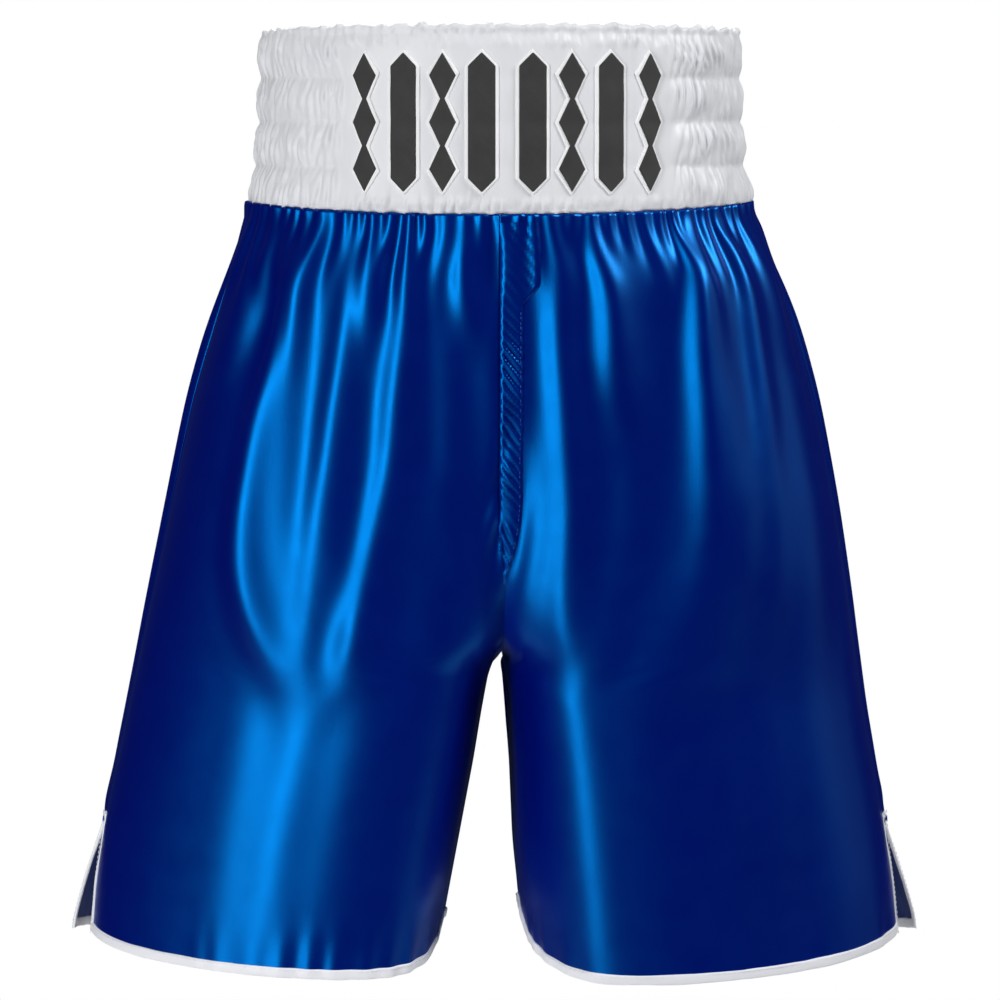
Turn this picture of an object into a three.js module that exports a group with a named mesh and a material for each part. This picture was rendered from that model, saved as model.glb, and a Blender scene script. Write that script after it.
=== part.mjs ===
// A pair of boxing shorts, hanging as they are worn, in millimetres with +Z up.
// The origin is the middle of the waist opening, level with the top edge of the waistband.
// The front faces -Y and the wearer's left side is at +X.
//
// Every cloth piece follows one of two body surfaces. The waistband goes round a waist ellipse. The
// leg panels go from that ellipse down to two separate leg tubes, and meet in four seams: the front
// and back rise, the inseams and the side seams, which stay open at the bottom as side vents.
import * as THREE from "three";

// ---- Driving dimensions ----
const BAND_HEIGHT = 110;
const LENGTH = 552; // top of the waistband to the lowest point of the hem
const CROTCH_DEPTH = 367; // top of the waistband to the crotch point
const VENT_TOP_DEPTH = 471;
const SIDE_RISE = 9; // the hem is this much higher at the vents than in front
const INSEAM_RISE = 4;

const WAIST_HALF_WIDTH = 141;
const BAND_FLARE = 9; // how much wider the band's bottom edge is, each side
const WAIST_HALF_DEPTH = 97;
const HEM_HALF_WIDTH = 241; // body centre to the front panel's vent edge
const HEM_INNER_GAP = 26; // body centre to the inseam at the hem
const SEAT_FULLNESS = 10; // how far the seat stands out behind the waist
const VENT_SPREAD = 11; // how far the back panel's corner swings out of the vent
const VENT_OPENING_ANGLE = THREE.MathUtils.degToRad(5);

const CLOTH = 1.2; // satin with its seam allowances
const GAP = 0.4; // clearance between neighbouring pieces
const BINDING_WIDTH = 6;
const BINDING_THICKNESS = 2.4;

const CHANNELS = 4; // elastic channels sewn across the waistband
const HEADER = 4; // plain folded edge above the first channel and below the last one
const CHANNEL_BULGE = 2.2; // how far the gathered cloth stands out between two channel seams
const ELASTIC_WIDTH = 22;
const ELASTIC_THICKNESS = 1.4;

const MOTIFS_EACH_SIDE = 4;
const MOTIF_WIDTH = 16;
const MOTIF_HEIGHT = 80;
const MOTIF_PITCH = 21.5;
const MOTIF_CENTRE_GAP = 28; // between the centres of the two middle motifs
const MOTIF_OFFSET = 4; // the row of motifs sits this far to the wearer's left
const MOTIF_BORDER = 1.8; // how far the white backing shows round a black motif
const TWILL = 0.7;

// ---- Materials ----
const material = (color, roughness, metalness = 0) =>
  new THREE.MeshStandardMaterial({ color, roughness, metalness });
const BLUE_SATIN = material(0x0a2fa8, 0.35, 0.3);
const WHITE_SATIN = material(0xeceef2, 0.45);
const ELASTIC = material(0xf4f2ea, 0.85);
const BINDING = material(0xdcdff2, 0.5);
const BLACK_TWILL = material(0x2b2b2b, 0.75);
const WHITE_TWILL = material(0xf7f7f7, 0.75);
const LABEL = material(0xf2f2f2, 0.6);
const BLUE_THREAD = material(0x1440c0, 0.6);

const shorts = new THREE.Group();

function add(name, geometry, finish) {
  const mesh = new THREE.Mesh(geometry, finish);
  mesh.name = name;
  shorts.add(mesh);
  return mesh;
}

// ---- Closed geometries ----

// A closed body from a grid of rings, each ring a closed loop of points. The grid itself closes on
// itself after the last ring when it wraps; otherwise the first and last rings are filled. The second
// half of a ring is the inner face: it is split along the same diagonals as the outer face, so that
// a twisted patch of cloth keeps its thickness.
function loftGeometry(rings, wraps) {
  const size = rings[0].length;
  const points = rings.flat();
  const index = [];
  const spans = wraps ? rings.length : rings.length - 1;
  for (let r = 0; r < spans; r++) {
    for (let k = 0; k < size; k++) {
      const a = r * size + k;
      const b = r * size + ((k + 1) % size);
      const c = ((r + 1) % rings.length) * size + k;
      const d = ((r + 1) % rings.length) * size + ((k + 1) % size);
      index.push(...(k < size / 2 ? [a, b, c, b, d, c] : [a, b, d, a, d, c]));
    }
  }
  if (!wraps) {
    // An end is a strip of cloth seen edge on, so it is filled from its outer to its inner side.
    for (const [first, flip] of [[0, true], [(rings.length - 1) * size, false]]) {
      for (let k = 0; k < size / 2 - 1; k++) {
        const a = first + k;
        const b = first + k + 1;
        const c = first + size - 1 - k;
        const d = first + size - 2 - k;
        index.push(...(flip ? [a, c, b, b, c, d] : [a, b, c, b, d, c]));
      }
    }
  }
  const geometry = new THREE.BufferGeometry().setFromPoints(points);
  geometry.setIndex(index);
  geometry.computeVertexNormals();
  return geometry;
}

// A piece of cloth: at(u, v, lift) is a point of its surface, lift millimetres outside the body
// surface, with u across and v down, both from 0 to 1.
function clothGeometry(at, columns, rows, inner, outer) {
  const rings = [];
  for (let j = 0; j <= rows; j++) {
    const across = [...Array(columns + 1).keys()].map((i) => i / columns);
    rings.push([
      ...across.map((u) => at(u, j / rows, outer)),
      ...across.reverse().map((u) => at(u, j / rows, inner)),
    ]);
  }
  return loftGeometry(rings, false);
}

// ---- The waist ----

const bandDrop = (z) => -z / BAND_HEIGHT;
const waistHalfWidth = (z) => WAIST_HALF_WIDTH + BAND_FLARE * bandDrop(z) ** 3;
const waistHalfDepth = (z) => WAIST_HALF_DEPTH + 3 * bandDrop(z);

// A point of the waist, turned round from the middle of the front towards the wearer's left.
function waistPoint(angle, z, lift) {
  const a = waistHalfWidth(z);
  const b = waistHalfDepth(z);
  const normal = new THREE.Vector2(Math.sin(angle) / a, -Math.cos(angle) / b).normalize();
  return new THREE.Vector3(
    a * Math.sin(angle) + lift * normal.x,
    -b * Math.cos(angle) + lift * normal.y,
    z,
  );
}

// A band round the whole waist from an outline of [lift, z] points.
function waistRing(outline, segments) {
  const rings = [];
  for (let k = 0; k < segments; k++) {
    const angle = (-k / segments) * 2 * Math.PI;
    rings.push(outline.map(([lift, z]) => waistPoint(angle, z, lift)));
  }
  return loftGeometry(rings, true);
}

const RING_SEGMENTS = 48;
const CHANNEL_HEIGHT = (BAND_HEIGHT - 2 * HEADER) / CHANNELS;
const CHANNEL_STEPS = 4;

// One side of a band's outline, from its bottom edge up to its top edge.
function bandFace(lift, bottom, top, steps) {
  const levels = [...Array(steps + 1).keys()];
  return levels.map((k) => [lift, THREE.MathUtils.lerp(bottom, top, k / steps)]);
}

function flatBand(outerLift, thickness, bottom, top, steps) {
  const inside = bandFace(outerLift - thickness, bottom, top, steps).reverse();
  return [...bandFace(outerLift, bottom, top, steps), ...inside];
}

function buildWaistband() {
  const foldDepth = 1.5;
  const elasticLift = -CLOTH - GAP;
  const liningLift = elasticLift - ELASTIC_THICKNESS - GAP;

  const outer = [[0, -BAND_HEIGHT]];
  for (let k = CHANNELS * CHANNEL_STEPS; k >= 0; k--) {
    const across = (k % CHANNEL_STEPS) / CHANNEL_STEPS;
    const z = -HEADER - (k / CHANNEL_STEPS) * CHANNEL_HEIGHT;
    outer.push([CHANNEL_BULGE * Math.sin(Math.PI * across), z]);
  }
  // The top edge folds over the elastic and the lining.
  outer.push([0, 0], [liningLift - CLOTH, 0], [liningLift - CLOTH, -foldDepth]);
  outer.push(...bandFace(-CLOTH, -BAND_HEIGHT, -foldDepth, 2 * CHANNELS).reverse());
  add("waistband_outer", waistRing(outer, RING_SEGMENTS), WHITE_SATIN);

  const lining = flatBand(liningLift, CLOTH, -BAND_HEIGHT, -foldDepth - GAP, 2 * CHANNELS);
  add("waistband_lining", waistRing(lining, RING_SEGMENTS), WHITE_SATIN);

  for (let k = 0; k < CHANNELS; k++) {
    const middle = -HEADER - (k + 0.5) * CHANNEL_HEIGHT;
    const top = middle + ELASTIC_WIDTH / 2;
    const bottom = middle - ELASTIC_WIDTH / 2;
    const strip = flatBand(elasticLift, ELASTIC_THICKNESS, bottom, top, 2);
    add(`elastic_${k + 1}`, waistRing(strip, RING_SEGMENTS), ELASTIC);
  }
}

// ---- The applied motifs on the front of the waistband ----

// An upright bar with pointed ends.
function barOutline(width, height) {
  const shoulder = height / 2 - width / 2;
  return new THREE.Shape([
    new THREE.Vector2(0, height / 2),
    new THREE.Vector2(-width / 2, shoulder),
    new THREE.Vector2(-width / 2, -shoulder),
    new THREE.Vector2(0, -height / 2),
    new THREE.Vector2(width / 2, -shoulder),
    new THREE.Vector2(width / 2, shoulder),
  ]);
}

// Three diamonds, joined point to point by a short neck.
function diamondsOutline(width, height, neck) {
  const diamonds = 3;
  const side = [];
  for (let k = 0; k < diamonds; k++) {
    const top = height / 2 - (k * height) / diamonds;
    side.push([k === 0 ? 0 : neck / 2, top], [width / 2, top - height / diamonds / 2]);
  }
  side.push([0, -height / 2]);
  const left = side.map(([x, y]) => new THREE.Vector2(-x, y));
  const right = side.slice(1, -1).map(([x, y]) => new THREE.Vector2(x, y)).reverse();
  return new THREE.Shape([...left, ...right]);
}

function buildMotifs() {
  const middle = -BAND_HEIGHT / 2;
  const borderLift = CHANNEL_BULGE + GAP;
  const motifLift = borderLift + TWILL + GAP;
  for (let k = 0; k < 2 * MOTIFS_EACH_SIDE; k++) {
    const side = k < MOTIFS_EACH_SIDE ? -1 : 1;
    const step = k < MOTIFS_EACH_SIDE ? MOTIFS_EACH_SIDE - 1 - k : k - MOTIFS_EACH_SIDE;
    const x = MOTIF_OFFSET + side * (MOTIF_CENTRE_GAP / 2 + step * MOTIF_PITCH);
    const angle = Math.asin(x / waistHalfWidth(middle));
    const isBar = step % 2 === 0;
    const layers = [
      ["border", borderLift, MOTIF_BORDER, WHITE_TWILL],
      ["motif", motifLift, 0, BLACK_TWILL],
    ];
    for (const [name, lift, margin, finish] of layers) {
      const width = MOTIF_WIDTH + 2 * margin;
      const height = MOTIF_HEIGHT + 2 * margin;
      const neck = 3 + 2 * margin;
      const outline = isBar ? barOutline(width, height) : diamondsOutline(width, height, neck);
      const geometry = new THREE.ExtrudeGeometry(outline, { depth: TWILL, bevelEnabled: false });
      const patch = add(`${name}_${k + 1}`, geometry, finish);
      const high = waistPoint(angle, middle + height / 2, lift);
      const low = waistPoint(angle, middle - height / 2, lift);
      const across = waistPoint(angle + 0.01, middle, lift).sub(waistPoint(angle, middle, lift));
      const up = high.clone().sub(low).normalize();
      const ahead = across.cross(up).normalize();
      const frame = new THREE.Matrix4().makeBasis(up.clone().cross(ahead), up, ahead);
      patch.quaternion.setFromRotationMatrix(frame);
      patch.position.copy(high.add(low).multiplyScalar(0.5));
    }
  }
}

// ---- The leg panels ----

// One quarter of the shorts, for x and y both positive: a panel runs from its inner edge, which is
// the rise above the crotch and the inseam below it, to its outer edge, the side seam and the vent.
const DROP = LENGTH - BAND_HEIGHT;
const share = (z, top, bottom) => THREE.MathUtils.clamp((top - z) / (top - bottom), 0, 1);

function sideHalfWidth(z) {
  const start = waistHalfWidth(-BAND_HEIGHT);
  return start + (HEM_HALF_WIDTH - start) * share(z, -BAND_HEIGHT, -LENGTH) ** 0.62;
}

function halfDepth(z, isBack) {
  const t = share(z, -BAND_HEIGHT, -LENGTH);
  const seat = isBack ? SEAT_FULLNESS * Math.sin(Math.PI * t ** 0.8) : 0;
  return waistHalfDepth(-BAND_HEIGHT) - 5 * t + seat;
}

// How deep the rise seam still is at this height, as a share of the body's half depth. It falls
// from 1 at the waistband to 0 at the crotch point.
function riseDepth(z) {
  const t = share(z, -BAND_HEIGHT, -CROTCH_DEPTH);
  return (1 - t ** 3.2) ** (1 / 2.2);
}

// The elliptical section of a leg at one height: its centre, its half sizes and its inner angle.
function legSection(z, isBack) {
  const outer = sideHalfWidth(z);
  const depth = halfDepth(z, isBack);
  const inner = HEM_INNER_GAP * share(z, -CROTCH_DEPTH, -LENGTH) ** 0.85;
  if (z <= -CROTCH_DEPTH) {
    return { centre: (outer + inner) / 2, width: (outer - inner) / 2, depth, start: Math.PI };
  }
  const ratio = Math.sqrt(1 - riseDepth(z) ** 2);
  const width = outer / (1 + ratio);
  return { centre: outer - width, width, depth, start: Math.acos(-ratio) };
}

function legPoint(u, z, lift, isBack) {
  const { centre, width, depth, start } = legSection(z, isBack);
  const open = share(z, -VENT_TOP_DEPTH, -LENGTH);
  const end = isBack ? 0 : VENT_OPENING_ANGLE * open;
  const angle = start + (end - start) * u;
  const swing = isBack ? VENT_SPREAD * open * Math.max(0, Math.cos(angle)) ** 2 : 0;
  const normal = new THREE.Vector2(Math.cos(angle) / width, Math.sin(angle) / depth).normalize();
  return new THREE.Vector3(
    GAP / 2 + centre + width * Math.cos(angle) + swing + lift * normal.x,
    GAP / 2 + depth * Math.sin(angle) + lift * normal.y,
    z,
  );
}

// Height of the bottom edge: lowest under the thigh, higher at the vent and a little at the inseam.
function hemHeight(u) {
  const towardsVent = Math.max(0, (u - 0.45) / 0.55);
  const towardsInseam = Math.max(0, (0.45 - u) / 0.45);
  return -LENGTH + SIDE_RISE * towardsVent ** 2 + INSEAM_RISE * towardsInseam ** 2;
}

const PANEL_COLUMNS = 12;
const RISE_ROWS = 9;
const THIGH_ROWS = 4;
const VENT_ROWS = 4;
const PANEL_ROWS = RISE_ROWS + THIGH_ROWS + VENT_ROWS;
const BINDING_COLUMNS = 16;
const VENT_EDGE = 0.96; // the vent binding takes the panel's last stretch, from here to its edge
const VENT_STEP = 2; // the panel steps in over this height, where the binding starts

// The height of one row of a panel. Rows crowd together towards the crotch point, where the rise
// seam turns in under the body, and are even from there to the vent and down to the hem binding.
function panelRow(row, u) {
  const { lerp } = THREE.MathUtils;
  if (row <= RISE_ROWS) {
    const t = 1 - (1 - row / RISE_ROWS) ** 1.5;
    return { z: lerp(-BAND_HEIGHT - GAP, -CROTCH_DEPTH, t), inVent: false };
  }
  const thighRow = row - RISE_ROWS;
  if (thighRow <= THIGH_ROWS) {
    return { z: lerp(-CROTCH_DEPTH, -VENT_TOP_DEPTH, thighRow / THIGH_ROWS), inVent: false };
  }
  const bottom = hemHeight(u) + BINDING_WIDTH + GAP;
  const below = (thighRow - THIGH_ROWS - 1) / (VENT_ROWS - 1);
  return { z: lerp(-VENT_TOP_DEPTH - VENT_STEP, bottom, below), inVent: true };
}

function buildPanel(side, isBack) {
  const name = `${isBack ? "back" : "front"}_${side > 0 ? "left" : "right"}`;
  const place = (mesh) => mesh.scale.set(side, isBack ? 1 : -1, 1);

  const panelAt = (u, v, lift) => {
    const { z, inVent } = panelRow(Math.round(v * PANEL_ROWS), u);
    return legPoint(inVent ? u * VENT_EDGE : u, z, lift, isBack);
  };
  place(add(`${name}_panel`, clothGeometry(panelAt, PANEL_COLUMNS, PANEL_ROWS, -CLOTH, 0), BLUE_SATIN));

  const inner = -(BINDING_THICKNESS + CLOTH) / 2;
  const outer = (BINDING_THICKNESS - CLOTH) / 2;
  const hemAt = (u, v, lift) => legPoint(u, hemHeight(u) + (1 - v) * BINDING_WIDTH, lift, isBack);
  place(add(`${name}_hem_binding`, clothGeometry(hemAt, BINDING_COLUMNS, 1, inner, outer), BINDING));

  // The vent binding runs from the top of the vent down to the hem binding.
  const ventAt = (u, v, lift) => {
    const across = VENT_EDGE + 0.008 + (1 - VENT_EDGE - 0.008) * u;
    const top = -VENT_TOP_DEPTH - VENT_STEP;
    const bottom = hemHeight(1) + BINDING_WIDTH + 2 * GAP;
    return legPoint(across, THREE.MathUtils.lerp(top, bottom, v), lift, isBack);
  };
  place(add(`${name}_vent_binding`, clothGeometry(ventAt, 2, 4, inner, outer), BINDING));
}

// The folded strip topstitched beside the rise seam, on the wearer's left of it.
function buildRiseStrip(isBack) {
  const seamAllowance = 1.5;
  const width = 11;
  const thickness = 0.8;
  const top = -150;
  const bottom = isBack ? -300 : -332;
  const at = (u, v, lift) => {
    const z = THREE.MathUtils.lerp(top, bottom, v);
    const section = legSection(z, isBack);
    const cosine = (seamAllowance + width * u - section.centre) / section.width;
    const along = (section.start - Math.acos(cosine)) / section.start;
    return legPoint(along, z, lift, isBack);
  };
  const name = isBack ? "back_rise_strip" : "front_rise_strip";
  const lift = 3 * GAP;
  const mesh = add(name, clothGeometry(at, 2, 12, lift, lift + thickness), BLUE_SATIN);
  mesh.scale.set(1, isBack ? 1 : -1, 1);
}

// A dense bar of thread across the top of each vent.
function buildBarTack(side) {
  const size = { x: 1.2, y: 8, z: 2.5 };
  const z = -VENT_TOP_DEPTH + 3;
  const tack = add(
    `vent_bar_tack_${side > 0 ? "left" : "right"}`,
    new THREE.BoxGeometry(size.x, size.y, size.z),
    BLUE_THREAD,
  );
  tack.position.set(side * (legPoint(1, z, 0, true).x + GAP + size.x / 2), 0, z);
}

// A blank woven care label, caught in the waistband seam inside the middle of the back.
function buildCareLabel() {
  const label = { width: 32, height: 42, thickness: 0.6 };
  const geometry = new THREE.BoxGeometry(label.width, label.thickness, label.height);
  const mesh = add("care_label", geometry, LABEL);
  const y = waistHalfDepth(-BAND_HEIGHT) - CLOTH - 6;
  mesh.position.set(0, y, -BAND_HEIGHT - GAP - label.height / 2);
}

buildWaistband();
buildMotifs();
for (const side of [1, -1]) {
  for (const isBack of [false, true]) {
    buildPanel(side, isBack);
  }
  buildBarTack(side);
}
buildRiseStrip(false);
buildRiseStrip(true);
buildCareLabel();

export default shorts;
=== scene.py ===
"""Boxing shorts: satin legs gathered into a deep elasticated waistband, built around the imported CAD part.

Metres, +Z up, origin at the top centre of the waistband. The wearer faces -Y, and their left is +X."""
import math

import bpy
import numpy as np
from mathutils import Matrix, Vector


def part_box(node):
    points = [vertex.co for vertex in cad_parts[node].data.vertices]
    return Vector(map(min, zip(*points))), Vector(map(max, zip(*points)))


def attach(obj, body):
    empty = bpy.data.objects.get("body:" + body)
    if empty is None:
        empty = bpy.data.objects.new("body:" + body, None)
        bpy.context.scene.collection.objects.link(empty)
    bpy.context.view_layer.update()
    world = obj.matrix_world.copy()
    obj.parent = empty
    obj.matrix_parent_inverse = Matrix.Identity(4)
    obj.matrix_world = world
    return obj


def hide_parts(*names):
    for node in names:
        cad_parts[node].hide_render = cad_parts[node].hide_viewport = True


MM = 0.001
SEED = 5
ALL = slice(None)
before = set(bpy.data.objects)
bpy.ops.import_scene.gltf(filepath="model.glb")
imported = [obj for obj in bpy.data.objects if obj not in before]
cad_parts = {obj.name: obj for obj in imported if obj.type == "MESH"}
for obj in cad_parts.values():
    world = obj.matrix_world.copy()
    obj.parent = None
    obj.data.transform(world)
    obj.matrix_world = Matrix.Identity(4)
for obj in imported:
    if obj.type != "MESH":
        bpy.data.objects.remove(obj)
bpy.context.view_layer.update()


# ---------------------------------------------------------------- sizes, worked out from the frame
def vertices(mesh):
    points = np.empty(3 * len(mesh.vertices))
    mesh.vertices.foreach_get("co", points)
    return points.reshape(-1, 3)


def node_points(name):
    return vertices(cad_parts[name].data)


def half_size(points, axis, height):
    """half the size along an axis of the points within 1 mm of a height"""
    near = points[np.abs(points[:, 2] - height) < 1 * MM]
    return np.abs(near[:, axis]).max()


BAND_POINTS = node_points("waistband_outer")
LEG_POINTS = node_points("front_left_panel")
BAND = -BAND_POINTS[:, 2].min()
LENGTH = -node_points("front_left_hem_binding")[:, 2].min()
VENT = -node_points("front_left_vent_binding")[:, 2].max()
CROTCH = -LEG_POINTS[LEG_POINTS[:, 0] < 2 * MM, 2].min()
TOP_WIDTH = half_size(BAND_POINTS, 0, 0)
TOP_DEPTH = half_size(BAND_POINTS, 1, 0)
LOW_WIDTH = half_size(BAND_POINTS, 0, -BAND)
LOW_DEPTH = half_size(BAND_POINTS, 1, -BAND)
HEM_DEPTH = LOW_DEPTH - 5 * MM
SEAT_FULLNESS = 10 * MM
VENT_SPREAD = 15 * MM
VENT_ANGLE = math.radians(5)
TAPE = 6 * MM                    # width of the white bindings
CLOTH = 0.5 * MM                 # thickness of the satin

# How far each leg's outer edge stands beyond the waistband seam, in mm, at shares of the way down.
FLARE_AT = (0, 0.06, 0.12, 0.18, 0.25, 0.39, 0.52, 0.66, 0.80, 0.90, 1)
LEFT_FLARE = (0, 9, 20, 28, 37, 49.5, 59, 67.5, 79, 86, 90)
RIGHT_FLARE = (0, 6.5, 13.5, 22, 32, 46, 59, 72, 86, 93, 97)
# How far each leg's inner edge stands off the middle, in mm, at shares of the way from the crotch down.
GAP_AT = (0, 0.05, 0.18, 0.37, 0.63, 0.89, 1)
LEFT_GAP = (0, 2, 4, 6.5, 8.5, 13, 16)
RIGHT_GAP = (0, 7, 11.5, 17, 26, 35, 39)
SIDE_LIFT = 5.5 * MM             # how far the waistband seam rises at the sides
SEAM_TUCK = 3 * MM               # how far above the CAD's the seam is all round


# ---------------------------------------------------------------- the wearer: the smooth body inside
RISE_BEND, RISE_ROUND = 4.5, 2.2  # how late and how roundly the rise turns in under the body
BOXINESS = 0.5                   # how much squarer than an ellipse the front's sections are
LEFT_FORWARD, RIGHT_FORWARD = 36 * MM, 46 * MM   # how far each thigh's front leans towards the middle
PANELS = ("front_left", "back_left", "back_right", "front_right")
FRONT_LEFT, BACK_LEFT, BACK_RIGHT, FRONT_RIGHT = range(4)
IS_BACK = np.array([0, 1, 1, 0])
SIDE = np.array([1, 1, -1, -1])
FACE = np.array([-1, 1, 1, -1])


def share(z, top, low):
    return np.clip((top - z) / (top - low), 0, 1)


def smooth_step(a):
    a = np.clip(a, 0, 1)
    return a * a * (3 - 2 * a)


def blur(line, times, reach=8):
    """a line of values under a moving average"""
    span = 2 * reach + 1
    for _ in range(times):
        line = np.convolve(np.pad(line, reach, mode="edge"), np.ones(span) / span, mode="valid")
    return line


def running(steps, axis=0):
    """running sums of steps along an axis, starting from 0"""
    start = np.zeros_like(steps.take([0], axis))
    return np.concatenate([start, np.cumsum(steps, axis)], axis)


def profile(at, values):
    """a smooth curve through values in mm at shares of the way, read at any share from 0 to 1"""
    values = np.array(values, float)
    fine = np.linspace(-0.1, 1.1, 481)
    line = np.interp(fine, at, values * MM)
    line[fine > 1] += (fine[fine > 1] - 1) * (values[-1] - values[-2]) * MM / (at[-1] - at[-2])
    line = blur(line, 2)
    start = np.interp(0, fine, line) * (fine < 0.1) * (1 - fine / 0.1).clip(0, 1)
    return lambda t: np.interp(t, fine, line - start)


left_flare, right_flare = (profile(FLARE_AT, flare) for flare in (LEFT_FLARE, RIGHT_FLARE))
left_gap, right_gap = (profile(GAP_AT, gap) for gap in (LEFT_GAP, RIGHT_GAP))


def squareness(t, back):
    """the power of each section's curve: 2 is an ellipse, and the front is boxier above the legs' parting"""
    above_parting = smooth_step(t / 0.1) * (1 - smooth_step((t - 0.45) / 0.2))
    return 2 + (1 - back) * BOXINESS * above_parting


def forward_line(t, back, side):
    """how much nearer to the middle than the leg's centre the foremost line of its front runs"""
    return (1 - back) * np.where(side > 0, LEFT_FORWARD, RIGHT_FORWARD) * smooth_step((t - 0.35) / 0.3)


def leg_section(z, back, side):
    """centre, half width, half depth, start angle, power and lean of one leg's section at height z"""
    t = share(z, -BAND, -LENGTH)
    outer = LOW_WIDTH + np.where(side > 0, left_flare(t), right_flare(t))
    depth = LOW_DEPTH + (HEM_DEPTH - LOW_DEPTH) * t + back * SEAT_FULLNESS * np.sin(np.pi * t ** 0.8)
    power = squareness(t, back)
    turn = (1 - (1 - share(z, -BAND, -CROTCH) ** RISE_BEND) ** (power / RISE_ROUND)) ** (1 / power)
    below = share(z, -CROTCH, -LENGTH)
    inner = np.where(side > 0, left_gap(below), right_gap(below))
    above = z > -CROTCH
    width = np.where(above, outer / (1 + turn), (outer - inner) / 2)
    centre = np.where(above, outer - width, (outer + inner) / 2)
    start = np.where(above, np.arccos(-turn ** (power / 2)), np.pi)
    return centre, width, depth, start, power, forward_line(t, back, side)


# Height of each leg's hem above the lowest point of the shorts: in its middle, and further up at the side
# vent and at the inseam.
LEFT_HEM = (-2 * MM, 15 * MM, 32 * MM)
RIGHT_HEM = (1.2 * MM, 12 * MM, 20 * MM)
HEM_MIDDLE = 0.45                # where across the panel its hem is lowest
TAPE_OVERLAP = 0.7 * TAPE        # how much of a hem's tape lies beyond the cloth's raw edge


def cloth_foot(u, side):
    """height of the cloth's raw edge, inside the hem binding, from the inseam, u = 0, to the vent, u = 1"""
    middle, vent, inseam = LEFT_HEM if side > 0 else RIGHT_HEM
    to_vent = np.clip((u - HEM_MIDDLE) / (1 - HEM_MIDDLE), 0, None)
    to_inseam = np.clip((HEM_MIDDLE - u) / HEM_MIDDLE, 0, None)
    return -LENGTH + middle + vent * to_vent ** 2 + inseam * to_inseam ** 2 + TAPE_OVERLAP


def body_row(v, back, side):
    """one finely sampled row of a quarter of the body, for x and y positive, and its arc length"""
    fine = np.linspace(0, 1, 401)
    z = -BAND + (cloth_foot(fine, side) + BAND) * v
    centre, width, depth, start, power, lean = leg_section(z, back, side)
    spread = share(z, -VENT, -LENGTH)
    angle = start + ((0 if back else VENT_ANGLE) * spread - start) * fine
    x = centre + width * np.sign(np.cos(angle)) * np.abs(np.cos(angle)) ** (2 / power)
    x += back * VENT_SPREAD * spread * np.clip(np.cos(angle), 0, None) ** 2
    y = depth * np.sin(angle).clip(0, 1) ** (2 / power)
    x -= lean * (y / depth) ** 2
    return np.array([x, y, z]), running(np.hypot(np.diff(x), np.diff(y)))


def smooth_body(columns, rows):
    """Points [xyz, panel, column, row]. Columns run straight down from the waistband, and where the rise
    seam turns in under the body the extra width goes to the columns beside it."""
    out = np.zeros((3, 4, columns + 1, rows + 1))
    v = np.linspace(0, 1, rows + 1)
    from_side = 1 - np.linspace(0, 1, columns + 1)
    for p in range(4):
        crotch = (CROTCH - BAND) / (-cloth_foot(0, SIDE[p]) - BAND)
        top, low = (body_row(k, IS_BACK[p], SIDE[p])[1][-1] for k in (0, crotch * 1.02))
        for j in range(rows + 1):
            points, arc = body_row(v[j], IS_BACK[p], SIDE[p])
            even = top + (low - top) * v[j] / crotch if v[j] < crotch else arc[-1]
            distance = even * from_side + (arc[-1] - even) * from_side ** 4
            x, y, z = (np.interp(arc[-1] - distance, arc, c) for c in points)
            out[:, p, :, j] = SIDE[p] * x, FACE[p] * y, z
    out[2] += (SEAM_TUCK + seam_lift(out[0, ..., :1])) * (1 - v) ** 2
    return out


def seam_lift(x):
    """how much higher the waistband seam is than the CAD's level one"""
    return SIDE_LIFT * np.clip(np.abs(x) / LOW_WIDTH, 0, 1) ** 2.5


def unit(a, axis=0):
    return a / (np.sqrt((a * a).sum(axis, keepdims=True)) + 1e-12)


def grid_normals(grid):
    """unit normals of points [xyz, ..., column, row]"""
    return unit(np.cross(np.gradient(grid, axis=-2), np.gradient(grid, axis=-1), axis=0))


def soften(a, passes):
    """blur a field over its last two axes"""
    for _ in range(passes):
        for axis in (-2, -1):
            b = np.moveaxis(a, axis, -1).copy()
            b[..., 1:-1] = (b[..., :-2] + 2 * b[..., 1:-1] + b[..., 2:]) / 4
            a = np.moveaxis(b, -1, axis)
    return a


# ---------------------------------------------------------------- cloth solver
def body_room(t):
    """how far inside and outside the body loose cloth may hang, at a share of the way down"""
    inward = 4 * MM + 12 * MM * np.sin(np.pi * np.clip(t * 1.05, 0, 1)) + 4 * MM * t
    outward = 3 * MM * smooth_step(t / 0.1) + 12 * MM * np.sin(np.pi * t) ** 0.7 + 4 * MM * t
    return inward, outward


def off_rise(x, z):
    """0 at the rise seam, 1 away from it and below the crotch"""
    beside = smooth_step((np.abs(x) - 5 * MM) / (14 * MM))
    below = smooth_step((-0.9 * CROTCH - z) / (30 * MM))
    return np.maximum(beside, below)


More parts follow.
